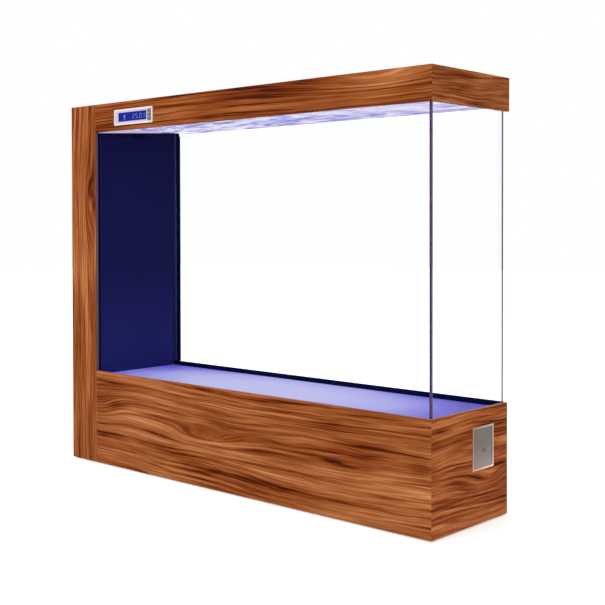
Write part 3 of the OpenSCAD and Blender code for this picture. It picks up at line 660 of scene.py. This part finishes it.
GREY = plastic("moulded_grey", (0.22, 0.24, 0.27), roughness=0.45)
BLACK = plastic("moulded_black", (0.018, 0.018, 0.020), roughness=0.5)
RUBBER = plastic("matt_rubber", (0.022, 0.022, 0.024), roughness=0.85, grain=500.0, specular=0.2)
WHITE = plastic("moulded_white", (0.78, 0.78, 0.80), roughness=0.4, shade=0.05)
STEEL = brushed("bright_steel", (0.55, 0.55, 0.56), "X", roughness=0.28)
for node in ("media_trays", "return_pipe", "return_spout", "drain_bulkhead", "drain_elbow", "drain_pipe",
             "drain_valve_body"):
    dress(node, GREY)
    soften(node, EASE, 1)
for node in ("tray_rails", "return_pump", "heater", "power_box"):
    dress(node, BLACK)
    soften(node, 0.001)
for node in ("levelling_mat", "foot_pads", "cable_grommet", "return_grommet"):
    dress(node, RUBBER)
dress("light_box", WHITE)
dress("filter_foam", foam("foam_blue"))
dress("ceramic_media", plastic("ceramic_pale", (0.62, 0.55, 0.44), roughness=0.9, grain=260.0, shade=0.3))
dress("drain_lever", plastic("lever_red", (0.52, 0.020, 0.014), roughness=0.35, coat=0.3))
soften("drain_lever", 0.001)
for node in ("column_screws", "hatch_pin", "hinge_set", "canopy_hinge_leaves", "filter_hinge_leaf"):
    dress(node, STEEL)

# ---- Hatch ----

hatch_low, hatch_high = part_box("hatch_frame")
FAR_SIDE = (hatch_high.y, (1.0, 1.0, 1.0))
FRAME_NEAR, DOOR_NEAR = (hatch_low.y, (0.66, 0.50, 0.45)), (hatch_low.y, (1.0, 0.82, 0.72))
# How far above the frame's foot the two plates have reached their upper shade
FRAME_LIFT, DOOR_LIFT = 0.045, 0.070
# Both plates are paler towards their foot and darker towards their near side: painted light and shade.
dress("hatch_frame", plate("frame_plate", (0.46, 0.37, 0.31), (0.78, 0.64, 0.56), FRAME_NEAR, FAR_SIDE,
                           hatch_low.z, hatch_low.z + FRAME_LIFT))
dress("hatch_door", plate("door_plate", (0.140, 0.136, 0.123), (0.275, 0.238, 0.240), DOOR_NEAR, FAR_SIDE,
                          hatch_low.z, hatch_low.z + DOOR_LIFT))
dress("hatch_lock", brushed("lock_steel", (0.11, 0.105, 0.10), "Y", roughness=0.4, metallic=0.4))
soften("hatch_frame", 0.0005)
soften("hatch_lock", 0.0003, 1)

# ---- Controller ----

panel_low, panel_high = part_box("control_panel")
screen_low, screen_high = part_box("control_display")
dress("control_panel", bezel("bezel_silver", panel_low, panel_high, screen_high.x))
soften("control_panel", 0.0012, 3)
dress("control_display", glowing("display_blue", (0.003, 0.011, 0.235), (0.002, 0.003, 0.02), roughness=0.5))
for node in ("key_up", "key_set", "key_down"):
    dress(node, plastic("cap_" + node, (0.105, 0.115, 0.12), roughness=0.45, specular=0.1))
    soften(node, EASE)

# Seven-segment numbers on the display: which of the segments are lit for each figure
SEGMENTS = {"0": "abcdef", "2": "abged", "5": "afgcd"}


def segment_span(segment, x, z, w, h, t):
    """Low x, low z, high x and high z of one segment, t thick, of a w by h figure with its lower left corner
    at x, z."""
    middle = z + h / 2
    spans = {
        "a": (x + t, z + h - t, x + w - t, z + h), "g": (x + t, middle - t / 2, x + w - t, middle + t / 2),
        "d": (x + t, z, x + w - t, z + t), "f": (x, middle + t / 4, x + t, z + h - t / 2),
        "b": (x + w - t, middle + t / 4, x + w, z + h - t / 2), "e": (x, z + t / 2, x + t, middle - t / 4),
        "c": (x + w - t, z + t / 2, x + w, middle - t / 4),
    }
    return spans[segment]


def display_marks():
    """The number 25.0 with a degree ring and three bars at its right, and a lamp icon at its left."""
    bm = bmesh.new()
    face = screen_low.y
    proud = 0.0004
    height = screen_high.z - screen_low.z
    width = screen_high.x - screen_low.x

    def mark(x0, z0, x1, z1):
        box_into(bm, (x0, face - proud, z0), (x1, face + proud, z1))

    figure_w, figure_h, stroke = 0.0105, 0.0160, 0.0022
    figure_step, point_gap = 0.0155, 0.004
    x = screen_low.x + width * 0.50
    z = screen_low.z + (height - figure_h) / 2
    for i, figure in enumerate("250"):
        left = x + i * figure_step + (point_gap if i == 2 else 0.0)
        for segment in SEGMENTS[figure]:
            mark(*segment_span(segment, left, z, figure_w, figure_h, stroke))
    point_x, point = x + 0.0283, 0.0024
    mark(point_x, z, point_x + point, z + point)

    ring_x, ring_z, ring_r = x + 0.0520, z + figure_h - 0.003, 0.0022
    upright = Matrix.Rotation(math.pi / 2, 4, "X")
    bmesh.ops.create_cone(bm, cap_ends=False, segments=16, radius1=ring_r, radius2=ring_r, depth=proud * 2,
                          matrix=Matrix.Translation((ring_x, face, ring_z)) @ upright)
    bar_x, bar_w, bar_h, bar_step = x + 0.0560, 0.0065, 0.0025, 0.0052
    for k in range(3):
        bar_z = z + 0.001 + k * bar_step
        mark(bar_x, bar_z, bar_x + bar_w, bar_z + bar_h)

    bulb_x, bulb_z, bulb_r = screen_low.x + width * 0.215, screen_low.z + height * 0.57, 0.0056
    rod_into(bm, (bulb_x, face, bulb_z), (0, 1, 0), bulb_r, proud * 2)
    mark(bulb_x - 0.0030, bulb_z - 0.0105, bulb_x + 0.0030, bulb_z - 0.0065)
    return bm


piece("display_marks", display_marks(), glowing("marks_pale", (0.10, 0.14, 0.53), (0.02, 0.03, 0.10)),
      "cabinet")

# ---- Screws in the lids' hinge leaves ----

# The screws' cross slots are dark marks on their heads: painted shade of the recesses.
CROSS_PAINTED_SHADE = plastic("screw_cross_painted_shade", (0.030, 0.030, 0.032), roughness=0.7, specular=0.1)
# Half a leaf's length, the pitch of its screws, and how far they stand in from its free edge
HALF_LEAF, LEAF_STEP, SCREW_ROW = 0.032, 0.024, 0.011
HEAD_R, HEAD_TOP_R, HEAD_T = 0.0028, 0.0024, 0.0002
CROSS_HALF_L, CROSS_HALF_W, CROSS_T = 0.0015, 0.0003, 0.00013


def leaf_screws(name, x_middles, y, z, body):
    """Three countersunk heads in each leaf, with their cross slots as dark marks of painted shade."""
    heads, slots = bmesh.new(), bmesh.new()
    for x_middle in x_middles:
        for k in (-1, 0, 1):
            x = x_middle + k * LEAF_STEP
            rod_into(heads, (x, y, z), (0, 0, 1), HEAD_R, HEAD_T, tip=HEAD_TOP_R)
            for half_x, half_y in ((CROSS_HALF_L, CROSS_HALF_W), (CROSS_HALF_W, CROSS_HALF_L)):
                box_into(slots, (x - half_x, y - half_y, z), (x + half_x, y + half_y, z + CROSS_T))
    piece(name + "_heads", heads, STEEL, body)
    piece(name + "_slots", slots, CROSS_PAINTED_SHADE, body)


leaf_low, leaf_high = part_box("canopy_hinge_leaves")
filter_low, filter_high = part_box("filter_hinge_leaf")
fixed_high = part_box("hinge_set")[1]
canopy_x = (leaf_low.x + HALF_LEAF, (leaf_low.x + leaf_high.x) / 2, leaf_high.x - HALF_LEAF)
filter_x = (filter_low.x + filter_high.x) / 2
screw_z = leaf_high.z + HEAD_T / 4
leaf_screws("canopy_leaf_screws", canopy_x, leaf_low.y + SCREW_ROW, screw_z, "canopy")
leaf_screws("filter_leaf_screws", (filter_x,), filter_low.y + SCREW_ROW, screw_z, "filter_cover")
leaf_screws("fixed_leaf_screws", canopy_x + (filter_x,), fixed_high.y - SCREW_ROW, screw_z, "cabinet")


# ---- Stage ----

def studio_floor():
    half = 14.0
    mesh = bpy.data.meshes.new("studio_floor")
    corners = [(-half, -half, 0), (half, -half, 0), (half, half, 0), (-half, half, 0)]
    mesh.from_pydata(corners, [], [(0, 1, 2, 3)])
    g = Graph("studio_floor_white")
    mesh.materials.append(g.surface(
        Base_Color=g.mottle(g.noise(g.place, scale=60.0), (0.955, 0.955, 0.955), (0.975, 0.975, 0.975)),
        Roughness=0.9, Specular_IOR_Level=0.0, Emission_Color=(1.0, 1.0, 1.0), Emission_Strength=0.33))
    floor = bpy.data.objects.new("studio_floor", mesh)
    bpy.context.scene.collection.objects.link(floor)


def studio_world():
    world = bpy.data.worlds.new("studio")
    bpy.context.scene.world = world
    world.use_nodes = True
    background = world.node_tree.nodes["Background"]
    background.inputs["Color"].default_value = (1.0, 1.0, 1.0, 1.0)
    background.inputs["Strength"].default_value = 1.0


def soft_lamp(name, at, towards, size, power):
    lamp = bpy.data.lights.new(name, "AREA")
    lamp.shape = "RECTANGLE"
    lamp.size, lamp.size_y = size
    lamp.energy = power
    o = bpy.data.objects.new(name, lamp)
    o.location = at
    o.rotation_euler = (Vector(towards) - Vector(at)).to_track_quat("-Z", "Y").to_euler()
    bpy.context.scene.collection.objects.link(o)


def photo_camera(at, yaw, pitch, roll, lens, shift_y):
    """A camera at a place, turned by its angles in degrees, with its lens in millimetres."""
    yaw, pitch, roll = math.radians(yaw), math.radians(pitch), math.radians(roll)
    forward = Vector((math.sin(yaw) * math.cos(pitch), math.cos(yaw) * math.cos(pitch), math.sin(pitch)))
    level_right = Vector((math.cos(yaw), -math.sin(yaw), 0))
    level_up = level_right.cross(forward)
    right = level_right * math.cos(roll) + level_up * math.sin(roll)
    up = level_up * math.cos(roll) - level_right * math.sin(roll)
    data = bpy.data.cameras.new("photo_camera")
    data.sensor_width = 36.0
    data.lens = lens
    data.shift_y = shift_y
    data.clip_end = 60.0
    camera = bpy.data.objects.new("photo_camera", data)
    camera.matrix_world = Matrix((right, up, -forward)).transposed().to_4x4()
    camera.matrix_world.translation = Vector(at)
    bpy.context.scene.collection.objects.link(camera)
    bpy.context.scene.camera = camera


studio_floor()
studio_world()
soft_lamp("key_light", at=(-1.2, -4.2, 3.4), towards=(0.0, 0.0, 0.6), size=(3.0, 2.0), power=122.0)
photo_camera(at=(2.3148, -2.3914, 0.8014), yaw=-42.131, pitch=-0.992, roll=-0.1015, lens=64.149,
             shift_y=-0.09901)
bpy.context.scene.view_settings.view_transform = "Standard"
bpy.context.scene.view_settings.look = "None"
